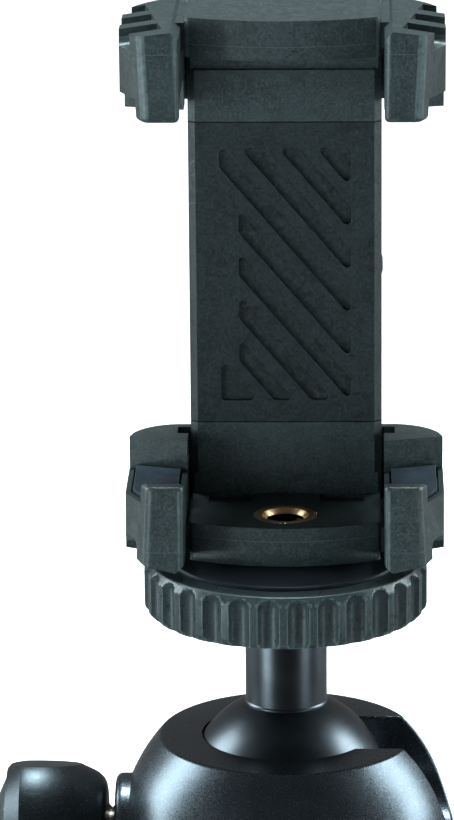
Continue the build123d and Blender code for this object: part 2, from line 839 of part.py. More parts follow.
def cover_screws():
    """Two screws that hold the covers together from behind."""
    under_head = body_back - cover_screw_head
    screw = rod(cover_screw_radius, inner_front + 1, under_head)
    screw += rod(cover_screw_head_radius, under_head, body_back)
    return [Pos(0, 0, z) * along_y(screw) for z in (lower_post_z, upper_post_z)]


def clamp_spring():
    """Spring that pulls the upper jaw down, right-hand side."""
    return Pos(spring_x, spring_y, 0) * rod(spring_radius, spring_foot, upper_seam + seam / 2)


def lock_wheel():
    """Lobed thumbwheel behind the body."""
    low = body_back + lock_wheel_gap
    wheel = rod(lock_wheel_radius, low, low + lock_wheel_height)
    cut = rod(lobe_cut_radius, low - 1, low + lock_wheel_height + 1)
    cut = Pos(lock_wheel_radius + lobe_cut_offset, 0, 0) * cut
    for i in range(lock_wheel_lobes):
        wheel -= Rot(0, 0, (i + 0.5) * 360 / lock_wheel_lobes) * cut
    wheel -= rod(cam_shaft_radius + press_gap, low - 1, low + lock_wheel_height - 1)
    return Pos(lock_wheel_x, 0, lock_wheel_z) * along_y(wheel)


def lock_cam():
    """Shaft of the lock wheel with the cam that presses on the right-hand rail."""
    cam_back = inner_back - seat_gap
    shaft = rod(cam_shaft_radius, cam_back, body_back + lock_wheel_gap + lock_wheel_height - 1 - seat_gap)
    shaft += Pos(cam_throw, 0, 0) * rod(cam_radius, cam_back - cam_length, cam_back)
    return Pos(lock_wheel_x, 0, lock_wheel_z) * along_y(shaft)


def save(name, shapes, place=Pos(0, 0, 0)):
    """Write one sub-part, one or several solids, at its place in the tripod."""
    if not isinstance(shapes, list):
        shapes = [shapes]
    solids = [solid for shape in shapes for solid in (place * shape).solids()]
    whole = solids[0] if len(solids) == 1 else Compound(solids)
    export_step(whole, f"parts/{name}.step")


def build_legs():
    """Write the pieces of the three legs, and return the hinge pins' places."""
    floor = block((-leg_length * 2, leg_length * 2), (-leg_length * 2, leg_length * 2), (-foot_radius * 2, 0))
    for name, turn in zip(leg_names, leg_turns):
        pin_place = Pos(0, 0, pivot_z) * Rot(0, 0, turn) * Pos(pivot_radius, 0, 0)
        leg_place = pin_place * Rot(0, -leg_spread, 0)
        save(f"{name}_leg_pin", along_y(rod(leg_pin_radius, -ear_width / 2, ear_width / 2)), pin_place)
        save(f"{name}_leg_head", leg_head(), leg_place)
        save(f"{name}_upper_tube", upper_tube(), leg_place)
        save(f"{name}_glide_bush", glide_bush(), leg_place)
        save(f"{name}_twist_collar", twist_collar(), leg_place)
        save(f"{name}_lower_tube", lower_tube(), leg_place)
        save(f"{name}_foot", leg_place * foot() - floor)


def build_hub():
    """Write the hub's pieces."""
    place = Pos(0, 0, pivot_z)
    cap = rod(bottom_cap_radius, -knuckle_radius, -knuckle_radius + bottom_cap_height)
    washer = rod(washer_radius, hub_top, hub_top + washer_height)
    washer -= rod(stud_radius + slide_gap, hub_top - 1, base_z)
    save("leg_hub", hub(), place)
    save("hub_stud", hub_stud(), place)
    save("hub_bottom_cap", cap, place)
    save("friction_washer", washer, place)


def build_ball_head():
    """Write the pieces of the ball head, the platform and the lock."""
    place = Pos(0, 0, ball_z)
    save("ball_housing", housing(), place)
    save("base_plug", base_plug(), place)
    save("wave_spring", wave_spring(), place)
    save("cup_seat", cup_seat(), place)
    save("ball_cup", ball_cup(), place)
    save("ball", ball(), place)
    save("stem", stem(), place)
    save("camera_screw", camera_screw(), place)
    save("locking_ring", locking_ring(), place)
    save("platform_disc", platform_disc(), place)
    save("lock_bush", lock_bush(), place)
    save("thrust_pad", thrust_pad(), place)
    save("lock_screw", lock_screw(), place)
    save("lock_knob", lock_knob(), place)
    save("knob_cap", knob_cap(), place)


def build_clamp():
    """Write the pieces of the phone clamp."""
    place = Pos(0, 0, shelf_z)
    save("lower_jaw", lower_jaw(), place)
    save("thread_insert", thread_insert(), place)
    save("upper_jaw", upper_jaw(), place)
    save("lower_pads", both_sides(claw_pad()), place)
    save("upper_pads", both_sides(as_upper(claw_pad())), place)
    save("front_cover", front_cover(), place)
    save("back_cover", back_cover(), place)
    save("cover_screws", cover_screws(), place)
    right, left = both_sides(clamp_spring())
    save("right_clamp_spring", right, place)
    save("left_clamp_spring", left, place)
    save("lock_wheel", lock_wheel(), place)
    save("lock_cam", lock_cam(), place)


os.makedirs("parts", exist_ok=True)
build_legs()
build_hub()
build_ball_head()
build_clamp()
print(f"shelf height {shelf_z:.2f}, ball height {ball_z:.2f}, hinge height {pivot_z:.2f}")
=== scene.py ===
# %% [markdown]
# # A table tripod with a phone clamp
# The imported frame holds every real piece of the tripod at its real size. This script
# dresses those pieces for a product picture: it rounds the moulded edges, cuts the grips,
# threads and springs, and gives each surface its finish. Blender could move and scale the
# pieces, but the frame is fixed, so every place here is read from it.

# %% Load the frame
import json
import math

import bmesh
import bpy
from mathutils import Matrix, Vector


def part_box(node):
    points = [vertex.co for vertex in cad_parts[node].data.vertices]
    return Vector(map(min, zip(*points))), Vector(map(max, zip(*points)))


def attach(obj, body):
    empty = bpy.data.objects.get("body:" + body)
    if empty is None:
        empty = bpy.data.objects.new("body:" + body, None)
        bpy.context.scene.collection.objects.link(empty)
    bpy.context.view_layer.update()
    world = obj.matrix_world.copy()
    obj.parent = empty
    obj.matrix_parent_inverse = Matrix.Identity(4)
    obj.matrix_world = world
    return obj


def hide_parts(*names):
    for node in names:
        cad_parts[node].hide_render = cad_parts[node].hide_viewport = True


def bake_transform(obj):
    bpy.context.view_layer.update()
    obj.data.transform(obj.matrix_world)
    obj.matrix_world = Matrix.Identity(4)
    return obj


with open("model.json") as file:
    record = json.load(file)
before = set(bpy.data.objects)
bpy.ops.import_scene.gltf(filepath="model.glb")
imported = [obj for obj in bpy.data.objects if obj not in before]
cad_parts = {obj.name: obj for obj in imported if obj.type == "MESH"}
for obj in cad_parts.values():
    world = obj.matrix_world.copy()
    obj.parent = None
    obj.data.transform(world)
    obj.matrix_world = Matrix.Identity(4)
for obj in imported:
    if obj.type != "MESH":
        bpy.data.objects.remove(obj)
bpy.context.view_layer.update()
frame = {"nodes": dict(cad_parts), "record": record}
cad_nodes = frame["nodes"]
MM = 0.001


def add_object(name, data):
    """New object with this mesh, lamp or camera, put into the scene."""
    thing = bpy.data.objects.new(name, data)
    bpy.context.scene.collection.objects.link(thing)
    return thing


print("pieces in the frame:", len(cad_nodes))

# %% [markdown]
# ## The camera
# The product was photographed a little above the phone shelf, looking down. A short lens
# near the object would make its upright edges run apart. A long lens from far away keeps
# them parallel, as they are in the picture. The place is measured from the face of the
# lower shelf, and the small turn and roll are those of the picture.

# %% Camera
shelf_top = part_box("thread_insert")[1].z
camera_place = Vector((11 * MM, -629.8 * MM, shelf_top + 189.4 * MM))
camera_pitch = math.radians(15.488)
camera_turn = math.radians(1.715)
camera_roll = math.radians(-0.50)
lens_length, sensor_width = 211.2, 36

camera = add_object("camera", bpy.data.cameras.new("camera"))
bpy.context.scene.camera = camera
camera.data.lens = lens_length
camera.data.sensor_width = sensor_width
camera.matrix_world = (
    Matrix.Translation(camera_place)
    @ Matrix.Rotation(camera_turn, 4, "Z")
    @ Matrix.Rotation(math.pi / 2 - camera_pitch, 4, "X")
    @ Matrix.Rotation(camera_roll, 4, "Z")
)
bpy.context.scene.view_settings.view_transform = "Standard"
print("camera height above the floor:", round(camera_place.z, 4))

# %% [markdown]
# ## Light
# Black plastic and dark paint show their form by what they mirror. One lamp could do both
# jobs, but bright mirrored bands would then leave the flat plastic too dark or too pale.
# So some soft boxes only light the object and aren't mirrored. Others are only mirrored:
# low bands in front, which draw the bright lines on the stem and the dome, and wings at
# the sides. The box above does both.

# %% Lamps
LAMP_COLOUR = (0.8, 0.96, 1.0)


def soft_box(name, azimuth, elevation, distance, size, power, use="both"):
    """Lamp that faces the clamp, azimuth 0 at the camera; use can be mirrored or light alone."""
    a, e = math.radians(azimuth), math.radians(elevation)
    direction = Vector((math.sin(a) * math.cos(e), -math.cos(a) * math.cos(e), math.sin(e)))
    lamp = bpy.data.lights.new(name, "AREA")
    lamp.shape = "RECTANGLE"
    lamp.size, lamp.size_y = size
    lamp.energy = power
    lamp.color = LAMP_COLOUR
    body = add_object(name, lamp)
    body.location = Vector((0, 0, shelf_top)) + direction * distance
    body.rotation_euler = direction.to_track_quat("Z", "Y").to_euler()
    body.visible_camera = False
    body.visible_diffuse = use != "mirrored"
    body.visible_glossy = use != "light"


# Angles are in degrees, the distance and the size in metres, the power in watts.
for lamp_row in (
    ("left_soft_box", -58, -3, 1.0, (0.4, 0.7), 10, "light"),
    ("right_soft_box", 66, -3, 1.0, (0.4, 0.7), 5.5, "light"),
    ("front_soft_box", -20, 0, 1.5, (0.8, 0.5), 4, "light"),
    ("top_soft_box", 180, 81, 1.2, (0.5, 0.35), 26),
    ("left_band", -54, -16, 1.0, (0.36, 0.35), 7, "mirrored"),
    ("right_band", 56, -16, 1.0, (0.36, 0.35), 2.8, "mirrored"),
    ("left_wing", -106, 18, 1.0, (0.4, 0.8), 11, "mirrored"),
    ("right_wing", 106, 18, 1.0, (0.4, 0.8), 11, "mirrored"),
):
    soft_box(*lamp_row)

# %% [markdown]
# ## Shader nodes
# Room, floor and finishes are small sums of nodes. They could be wired in the shader
# editor, but a script has to say every node and link. These helpers each make one part of
# such a sum, so that a finish below reads as a list of its layers.

# %% Nodes and sums
RANGE_SOCKETS = ("From Min", "From Max", "To Min", "To Max")


def add_node(tree, kind, **settings):
    """New node with some of its properties set."""
    node = tree.nodes.new(kind)
    for key, value in settings.items():
        setattr(node, key, value)
    return node


def between(tree, value, low, high, start, end, soft=False):
    """Value stretched from low..high to start..end and held there; soft eases both ends."""
    kind = "SMOOTHSTEP" if soft else "LINEAR"
    node = add_node(tree, "ShaderNodeMapRange", interpolation_type=kind)
    for socket, number in zip(RANGE_SOCKETS, (low, high, start, end)):
        node.inputs[socket].default_value = number
    tree.links.new(value, node.inputs["Value"])
    return node.outputs[0]


def sum_of(tree, kind, *values):
    """Sockets and numbers put together with one kind of sum, such as ADD or MULTIPLY."""
    total = values[0]
    for value in values[1:]:
        node = add_node(tree, "ShaderNodeMath", operation=kind)
        for socket, part in zip(node.inputs, (total, value)):
            if isinstance(part, (int, float)):
                socket.default_value = part
            else:
                tree.links.new(part, socket)
        total = node.outputs[0]
    return total


def along(tree, vector, axis):
    """One coordinate of a vector."""
    axes = add_node(tree, "ShaderNodeSeparateXYZ")
    tree.links.new(vector, axes.inputs[0])
    return axes.outputs[axis]


def surface(name, colour, roughness, **sockets):
    """Material with plain values on its shader; a socket is named with _ for each space."""
    material = bpy.data.materials.new(name)
    material.use_nodes = True
    shader = material.node_tree.nodes["Principled BSDF"]
    shader.inputs["Base Color"].default_value = (*colour, 1)
    shader.inputs["Roughness"].default_value = roughness
    for socket, value in sockets.items():
        shader.inputs[socket.replace("_", " ")].default_value = value
    return material, material.node_tree, shader


print("node helpers ready")

# %% [markdown]
# ## Room and floor
# The picture has a white ground. A white room would be mirrored in every black face and
# turn it grey. A real studio hangs black cloth in front. Here the rays are told apart:
# the camera sees white, and a mirrored ray sees a dim room that is lighter at the back.

# %% Rays
def seen_rays(tree):
    """1 for rays from the camera, a mirror or through glass; and 1 for mirrored rays alone."""
    path = add_node(tree, "ShaderNodeLightPath")
    kinds = ("Is Camera Ray", "Is Glossy Ray", "Is Transmission Ray")
    seen = sum_of(tree, "MAXIMUM", *(path.outputs[kind] for kind in kinds))
    return seen, path.outputs["Is Glossy Ray"]


def full_or(tree, factor, first, second):
    """The number first where the factor is 0, and the socket second where it is 1."""
    node = add_node(tree, "ShaderNodeMix")
    node.inputs["A"].default_value = first
    tree.links.new(factor, node.inputs["Factor"])
    tree.links.new(second, node.inputs["B"])
    return node.outputs["Result"]


print("rays can be told apart")


# %% Room
ROOM_LIGHT = 0.05
ROOM_MIRRORED = (0.03, 0.16)


def make_world():
    """White to look at, grey as a light, and dim in front for what mirrors it."""
    world = bpy.data.worlds.new("studio")
    world.use_nodes = True
    bpy.context.scene.world = world
    tree = world.node_tree
    background = tree.nodes["Background"]
    seen, mirrored = seen_rays(tree)
    direction = add_node(tree, "ShaderNodeTexCoord").outputs["Generated"]
    sweep = between(tree, along(tree, direction, "Y"), -0.5, 0.25, *ROOM_MIRRORED, soft=True)
    looked_at = full_or(tree, mirrored, 1.0, sweep)
    strength = full_or(tree, seen, ROOM_LIGHT, looked_at)
    tree.links.new(strength, background.inputs["Strength"])
    background.inputs["Color"].default_value = (1, 1, 1, 1)


make_world()
print("room light:", ROOM_LIGHT, "mirrored from front to back:", ROOM_MIRRORED)


# %% Floor
FLOOR_TONE = 0.82
FLOOR_MIRRORED = (0.04, 0.14)
FLOOR_GLOW = (0.35, 1)
GLOW_REACH = (0.16, 0.42)


def make_floor(half_size=4.0):
    """Pale floor under the feet that glows white far from them and is dim where mirrored."""
    mesh = bpy.data.meshes.new("floor")
    signs = ((-1, -1), (1, -1), (1, 1), (-1, 1))
    corners = [(x * half_size, y * half_size, 0) for x, y in signs]
    mesh.from_pydata(corners, [], [(0, 1, 2, 3)])
    floor = add_object("floor", mesh)
    material, tree, shader = surface(
        "floor_paper", (1, 1, 1), 0.9, Emission_Color=(1, 1, 1, 1)
    )
    seen, mirrored = seen_rays(tree)
    place = add_node(tree, "ShaderNodeTexCoord").outputs["Object"]
    way = add_node(tree, "ShaderNodeVectorMath", operation="NORMALIZE")
    tree.links.new(place, way.inputs[0])
    behind = along(tree, way.outputs[0], "Y")
    dimmed = between(tree, behind, -0.5, 0.4, *FLOOR_MIRRORED, soft=True)
    share = full_or(tree, mirrored, 1.0, dimmed)
    tree.links.new(sum_of(tree, "MULTIPLY", share, FLOOR_TONE), shader.inputs["Base Color"])
    distance = add_node(tree, "ShaderNodeVectorMath", operation="LENGTH")
    tree.links.new(place, distance.inputs[0])
    away = between(tree, distance.outputs["Value"], *GLOW_REACH, *FLOOR_GLOW, soft=True)
    glow = sum_of(tree, "MULTIPLY", seen, away, share)
    tree.links.new(glow, shader.inputs["Emission Strength"])
    mesh.materials.append(material)


make_floor()
print("floor at height 0")

# %% [markdown]
# ## Finishes
# Nearly everything here is black, so the finishes differ in how they break up the light:
# grain, sparkle, turned lines, and a pale tint along the edges that is partly wear and
# partly a painted highlight. Image textures would need unwrapped pieces. Noise on object
# coordinates has real sizes in metres, so a grain of 0.2 mm is 0.2 mm on every piece.

# %% Noise and tints
def lumps(tree, size, detail=2.0, stretch=(1, 1, 1)):
    """Noise with lumps of about this size in mm; a stretch below 1 makes them longer."""
    place = add_node(tree, "ShaderNodeTexCoord")
    scaled = add_node(tree, "ShaderNodeMapping")
    scaled.inputs["Scale"].default_value = [part / (size * MM) for part in stretch]
    texture = add_node(tree, "ShaderNodeTexNoise")
    texture.inputs["Scale"].default_value = 1
    texture.inputs["Detail"].default_value = detail
    tree.links.new(place.outputs["Object"], scaled.inputs[0])
    tree.links.new(scaled.outputs[0], texture.inputs["Vector"])
    return texture.outputs[0]


def shaded(colour, share):
    """The colour made lighter or darker."""
    return tuple(part * share for part in colour)


def tinted(tree, factor, first, second):
    """Colour that goes from first to second; each is a colour or a socket."""
    node = add_node(tree, "ShaderNodeMix", data_type="RGBA")
    tree.links.new(factor, node.inputs[0])
    for socket, part in ((node.inputs[6], first), (node.inputs[7], second)):
        if isinstance(part, tuple):
            socket.default_value = (*part, 1)
        else:
            tree.links.new(part, socket)
    return node.outputs[2]


def clouded(tree, noise, colour, darkest, palest, low=0.35, high=0.65):
    """The colour made darker and paler in clouds, by these shares."""
    clouds = between(tree, noise, low, high, 0, 1)
    return tinted(tree, clouds, shaded(colour, darkest), shaded(colour, palest))


def edge_wear_and_highlight(tree, spotting=0.9):
    """1 on the faces marked as edges, broken up in spots: the mask of a paler tint that is partly
    wear and partly a painted highlight.
    """
    mark = add_node(tree, "ShaderNodeAttribute", attribute_name="edge")
    spots = between(tree, lumps(tree, spotting), 0.3, 0.65, 0.35, 1)
    return sum_of(tree, "MULTIPLY", mark.outputs["Fac"], spots)


print("noise and tints ready")


# %% Gloss and bumps
def vary_gloss(tree, shader, noise, lowest, highest):
    """Roughness that follows a noise between two values."""
    tree.links.new(between(tree, noise, 0.3, 0.7, lowest, highest), shader.inputs["Roughness"])


def raise_bumps(tree, shader, *layers):
    """Bumps on top of each other; each layer is a height socket and its depth in mm."""
    normal = None
    for height, depth in layers:
        node = add_node(tree, "ShaderNodeBump")
        node.inputs["Distance"].default_value = depth * MM
        tree.links.new(height, node.inputs["Height"])
        if normal:
            tree.links.new(normal, node.inputs["Normal"])
        normal = node.outputs[0]
    tree.links.new(normal, shader.inputs["Normal"])


print("gloss and bumps ready")

# %% [markdown]
# ### Moulded plastic
# The jaws and covers come out of a spark-eroded mould: a fine grain, a slow mottling from
# the flow of the melt, and a hairline where the two mould halves met. A scanned grain
# could be laid over them, but it would smear on the slanted sides. Noise in space has no
# seams, and one noise both tints and lifts: its pits get painted shade and its tips a
# painted highlight.

# %% Moulded plastic
MOULD_LINE_HALF_WIDTH = 0.045 * MM
MOULD_LINE_SHARE = 0.55


def mould_lines(tree, edge, heights):
    """Adds a faint line at each height to the mask of worn and highlighted edges."""
    up = along(tree, add_node(tree, "ShaderNodeTexCoord").outputs["Object"], "Z")
    for height in heights:
        line = add_node(tree, "ShaderNodeMath", operation="COMPARE")
        line.inputs[1].default_value = height
        line.inputs[2].default_value = MOULD_LINE_HALF_WIDTH
        tree.links.new(up, line.inputs[0])
        faint = sum_of(tree, "MULTIPLY", line.outputs[0], MOULD_LINE_SHARE)
        edge = sum_of(tree, "MAXIMUM", edge, faint)
    return edge


def moulded_plastic(name, colour, roughness, grain=0.36, depth=0.04, flash=(), wear_and_highlight=3.0):
    """Grained plastic; flash gives the heights of the hairlines of the mould; the last number sets
    how pale the edges are painted, as wear and as a painted highlight.
    """
    material, tree, shader = surface(name, colour, roughness)
    fine, patches, mottle = lumps(tree, grain, 2), lumps(tree, 1.1, 3), lumps(tree, 5, 3)
    edge = edge_wear_and_highlight(tree)
    if flash:
        edge = mould_lines(tree, edge, flash)
    blotches = between(tree, patches, 0.35, 0.7, 0, 0.7)
    # Painted shade in the grain's pits and a painted highlight on its tips, from the same noise as
    # the bump.
    pit_shade = between(tree, fine, 0.34, 0.5, 0.5, 0)
    tip_highlight = between(tree, fine, 0.54, 0.7, 0, 0.5)
    base = clouded(tree, mottle, colour, 0.86, 1.14, 0.36, 0.66)
    # The edge mask is painted paler: partly wear, partly a painted highlight.
    for mask, share in ((blotches, 1.5), (pit_shade, 0.4), (tip_highlight, 2.2), (edge, wear_and_highlight)):
        base = tinted(tree, mask, base, shaded(colour, share))
    tree.links.new(base, shader.inputs["Base Color"])
    vary_gloss(tree, shader, patches, roughness - 0.07, roughness + 0.07)
    raise_bumps(tree, shader, (fine, depth), (patches, depth * 0.8))
    return material


jaw_flash = (shelf_top - 1.88 * MM, shelf_top + 66.2 * MM)
jaw_plastic = moulded_plastic("jaw_plastic", (0.030, 0.041, 0.042), 0.4, flash=jaw_flash)
cover_plastic = moulded_plastic(
    "cover_plastic", (0.016, 0.022, 0.023), 0.42, grain=0.42, depth=0.06
)
grip_plastic = moulded_plastic(
    "grip_plastic", (0.030, 0.041, 0.043), 0.33, grain=0.3, depth=0.012
)
inner_plastic = moulded_plastic(
    "inner_plastic", (0.19, 0.19, 0.20), 0.5, grain=0.3, depth=0.012, wear_and_highlight=1.4
)
print("plastics:", [m.name for m in bpy.data.materials if "plastic" in m.name])

# %% [markdown]
# ### Rubber, paint and metal
# Rubber is matt with a soft bloom. The ball head and the hub carry a satin paint with fine
# metal flakes that sparkle near the highlights. Stem, ball and tubes are anodised, with
# the faint rings that a lathe leaves. Brass and steel are bare. One shader with other
# numbers could serve them all, but each breaks up the light in its own way, so each kind
# has its own short function.

# %% Rubber
def soft_rubber(name, colour, roughness, grain, depth):
    """Matt rubber with bloom in patches."""
    material, tree, shader = surface(name, colour, roughness, Specular_IOR_Level=0.25)
    bloom = lumps(tree, 2.6, 4)
    base = clouded(tree, bloom, colour, 0.8, 1.35, 0.35, 0.7)
    # Edges painted paler: partly wear, partly a painted highlight.
    base = tinted(tree, edge_wear_and_highlight(tree), base, shaded(colour, 2.6))
    tree.links.new(base, shader.inputs["Base Color"])
    vary_gloss(tree, shader, bloom, roughness - 0.06, roughness + 0.06)
    raise_bumps(tree, shader, (lumps(tree, grain, 2), depth))
    return material


pad_rubber = soft_rubber("pad_rubber", (0.024, 0.037, 0.052), 0.6, 0.5, 0.09)
disc_rubber = soft_rubber("disc_rubber", (0.006, 0.010, 0.014), 0.55, 0.3, 0.006)
foot_rubber = soft_rubber("foot_rubber", (0.022, 0.024, 0.026), 0.68, 0.4, 0.03)
print("rubbers:", [m.name for m in bpy.data.materials if "rubber" in m.name])


# %% Satin paint with flakes
def flake_paint(name, colour, roughness):
    """Satin paint: dark ground, metal flakes that tilt each their own way, slight orange peel."""
    material, tree, shader = surface(name, colour, roughness, Metallic=0.92)
    peel, flakes, cloud = lumps(tree, 1.4, 2), lumps(tree, 0.16, 1), lumps(tree, 9, 3)
    glints = between(tree, flakes, 0.58, 0.74, 0, 0.8)
    base = clouded(tree, cloud, colour, 0.86, 1.14)
    base = tinted(tree, glints, base, shaded(colour, 2.8))
    # Edges painted paler: partly wear, partly a painted highlight.
    base = tinted(tree, edge_wear_and_highlight(tree), base, shaded(colour, 2.2))
    tree.links.new(base, shader.inputs["Base Color"])
    vary_gloss(tree, shader, flakes, roughness - 0.06, roughness + 0.06)
    raise_bumps(tree, shader, (flakes, 0.012), (peel, 0.01))
    return material


head_paint = flake_paint("head_paint", (0.092, 0.106, 0.122), 0.3)
knob_paint = flake_paint("knob_paint", (0.044, 0.052, 0.058), 0.36)
print("paints:", [m.name for m in bpy.data.materials if "paint" in m.name])


# %% Turned and bare metals
LATHE_STRETCH = (0.02, 0.02, 1)
DARK_METAL = 0.3


def turned_metal(name, colour, roughness, metallic, lines, depth, painted_shade_below=None):
    """Metal off the lathe with rings this wide in mm; a hole's walls can get painted shade, nearly
    black, below a height.
    """
    material, tree, shader = surface(name, colour, roughness, Metallic=metallic)
    rings = lumps(tree, lines, 2, LATHE_STRETCH)
    # Edge colour: twice as pale on dark metal, partly wear and partly a painted highlight.
    wear_and_highlight = shaded(colour, 2.0) if max(colour) < DARK_METAL else colour
    base = clouded(tree, lumps(tree, 5, 3), colour, 0.84, 1.16)
    base = tinted(tree, edge_wear_and_highlight(tree), base, wear_and_highlight)
    if painted_shade_below is not None:
        # Painted shade: the walls of the hole go nearly black below this height.
        up = along(tree, add_node(tree, "ShaderNodeTexCoord").outputs["Object"], "Z")
        hole_shade = between(tree, up, painted_shade_below - 0.2 * MM, painted_shade_below, 1, 0)
        base = tinted(tree, hole_shade, base, shaded(colour, 0.02))
    tree.links.new(base, shader.inputs["Base Color"])
    vary_gloss(tree, shader, rings, roughness - 0.02, roughness + 0.03)
    raise_bumps(tree, shader, (rings, depth), (lumps(tree, 0.2, 1), depth))
    return material


anodised = turned_metal("anodised", (0.094, 0.104, 0.116), 0.33, 1.0, 0.16, 0.0006)
tube_anodised = turned_metal("tube_anodised", (0.05, 0.052, 0.057), 0.36, 0.6, 0.3, 0.003)
brass = turned_metal("brass", (0.78, 0.47, 0.25), 0.3, 1.0, 0.12, 0.004)
# The insert's bore carries painted shade, nearly black below its mouth.
insert_brass = turned_metal(
    "insert_brass", (0.78, 0.49, 0.27), 0.3, 1.0, 0.12, 0.004, painted_shade_below=shelf_top - 0.62 * MM
)
steel = turned_metal("steel", (0.40, 0.37, 0.34), 0.32, 1.0, 0.1, 0.004)
bright_steel = turned_metal("bright_steel", (0.55, 0.55, 0.56), 0.25, 1.0, 0.2, 0.002)
print("materials:", len(bpy.data.materials))

# %% [markdown]
# ## Rounded copies of the frame's pieces
# No moulded part has a knife edge. A imported piece is loose triangles with sharp corners.
# Rebuilding each one by hand would lose its fitted size, so a copy is merged into clean
# faces, given a bevel of a fifth of a millimetre, and shaded by its face sizes. The slim
# outward faces of the bevel are marked, so that the finish can be painted paler there,
# partly as wear and partly as a painted highlight.

# %% Marking and putting in
OUTWARD_BEND = math.radians(19)


def mark_edges(mesh, width=0.16):
    """Marks slim faces at outward corners; width in mm is the widest that still counts."""
    shape = bmesh.new()
    shape.from_mesh(mesh)
    marks = []
    for face in shape.faces:
        longest = max(edge.calc_length() for edge in face.edges)
        slim = face.calc_area() / longest < width * MM
        whole_edges = (edge for edge in face.edges if edge.is_manifold)
        bend = max((edge.calc_face_angle_signed(0) for edge in whole_edges), default=0)
        marks.append(1.0 if slim and bend > OUTWARD_BEND else 0.0)
    shape.free()
    layer = mesh.attributes.new("edge", "FLOAT", "FACE")
    layer.data.foreach_set("value", marks)


def put_in(name, mesh, material, slot, body, *nodes):
    """Adds a finished mesh as a piece that replaces nodes and rides on a body, if one is named."""
    mesh.materials.clear()
    mesh.materials.append(material)
    mesh.name = name
    piece = add_object(name, mesh)
    if body:
        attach(piece, body)
    if nodes:
        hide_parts(*nodes)
    return piece


def body_of_node(node):
    """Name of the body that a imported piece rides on."""
    bodies = frame["record"]["behaviour"]["bodies"]
    return next(body for body, group in bodies.items() if node in group)


def slot_of_node(node):
    """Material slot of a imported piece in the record."""
    parts = frame["record"]["subparts"]
    return next(part["material_slot"] for part in parts if part["node"] == node)


# %% Copies
SAME_POINT = 0.002 * MM


def applied(carrier):
    """Plain mesh of an object with its modifiers, and the object itself is removed."""
    depsgraph = bpy.context.evaluated_depsgraph_get()
    mesh = bpy.data.meshes.new_from_object(carrier.evaluated_get(depsgraph))
    bpy.data.objects.remove(carrier)
    return mesh


def merged_copy(node, flatness=0.6):
    """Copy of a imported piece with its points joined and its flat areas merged."""
    shape = bmesh.new()
    shape.from_mesh(cad_nodes[node].data)
    bmesh.ops.remove_doubles(shape, verts=shape.verts, dist=SAME_POINT)
    bmesh.ops.dissolve_limit(
        shape, angle_limit=math.radians(flatness), verts=shape.verts, edges=shape.edges,
        use_dissolve_boundaries=False,
    )
    mesh = bpy.data.meshes.new(node)
    shape.to_mesh(mesh)
    shape.free()
    if "custom_normal" in mesh.attributes:
        mesh.attributes.remove(mesh.attributes["custom_normal"])
    return mesh


def rounded_copy(node, width=0.2, sharp=30, segments=2):
    """Merged copy with every sharp edge rounded by this width in mm."""
    mesh = merged_copy(node)
    mesh.shade_smooth()
    mesh.set_sharp_from_angle(angle=math.radians(sharp))
    carrier = add_object(node + "_copy", mesh)
    bevel = carrier.modifiers.new("round", "BEVEL")
    bevel.width = width * MM
    bevel.segments = segments
    bevel.limit_method = "ANGLE"
    bevel.angle_limit = math.radians(sharp)
    bevel.use_clamp_overlap = True
    weighted = carrier.modifiers.new("even", "WEIGHTED_NORMAL")
    weighted.weight = 80
    result = applied(carrier)
    mark_edges(result)
    return result


def dress(node, material, suffix, **rounding):
    """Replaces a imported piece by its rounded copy."""
    mesh = rounded_copy(node, **rounding)
    return put_in(f"{node}_{suffix}", mesh, material, slot_of_node(node), body_of_node(node), node)


def repaint(node, material):
    """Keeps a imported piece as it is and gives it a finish."""
    for slot in cad_nodes[node].material_slots:
        slot.material = material


print("copies of", len(cad_nodes), "pieces can be made")

# %% [markdown]
# ## The phone clamp
# Each jaw is one moulding: a shelf, two claws with lips, and the column. The covers close
# the middle, the front one with nine slanted cells. All of it could be modelled anew with
# subdivided boxes, and every groove, pocket and crease would have to be fitted again.
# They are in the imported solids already, so rounded copies keep them in place.

# %% Jaws and covers
jaws = [
    dress(node, jaw_plastic, "moulding", width=0.22, sharp=36)
    for node in ("lower_jaw", "upper_jaw")
]
covers = [dress(node, cover_plastic, "shell", width=0.13) for node in ("front_cover", "back_cover")]
pads = [
    dress(node, pad_rubber, "rubber", width=0.3, sharp=25) for node in ("lower_pads", "upper_pads")
]
for piece in jaws + covers + pads:
    print(piece.name, len(piece.data.polygons), "faces")

# %% [markdown]
# ## Slices round an axis
# The locking ring, the collars, the wheel and every turned part repeat one slice round an
# axis. Cutting thirty flutes with booleans leaves ragged arches. One slice is a small grid
# instead, with its rows bent where a flute is, and Geometry Nodes set it round the axis
# and weld the joints.

# %% Trees
WELD_GAP = 0.001 * MM


def new_tree(name, inputs):
    """Geometry Nodes tree with a geometry in and out and named inputs for its sizes."""
    tree = bpy.data.node_groups.new(name, "GeometryNodeTree")
    tree.interface.new_socket("Geometry", in_out="INPUT", socket_type="NodeSocketGeometry")
    for label, kind in inputs:
        tree.interface.new_socket(label, in_out="INPUT", socket_type=kind)
    tree.interface.new_socket("Geometry", in_out="OUTPUT", socket_type="NodeSocketGeometry")
    return tree, tree.nodes.new("NodeGroupInput"), tree.nodes.new("NodeGroupOutput")


def linked(tree, kind, inputs, **settings):
    """Node whose named or numbered inputs are sockets or plain values."""
    node = add_node(tree, kind, **settings)
    for key, value in inputs.items():
        if isinstance(value, bpy.types.NodeSocket):
            tree.links.new(value, node.inputs[key])
        else:
            node.inputs[key].default_value = value
    return node


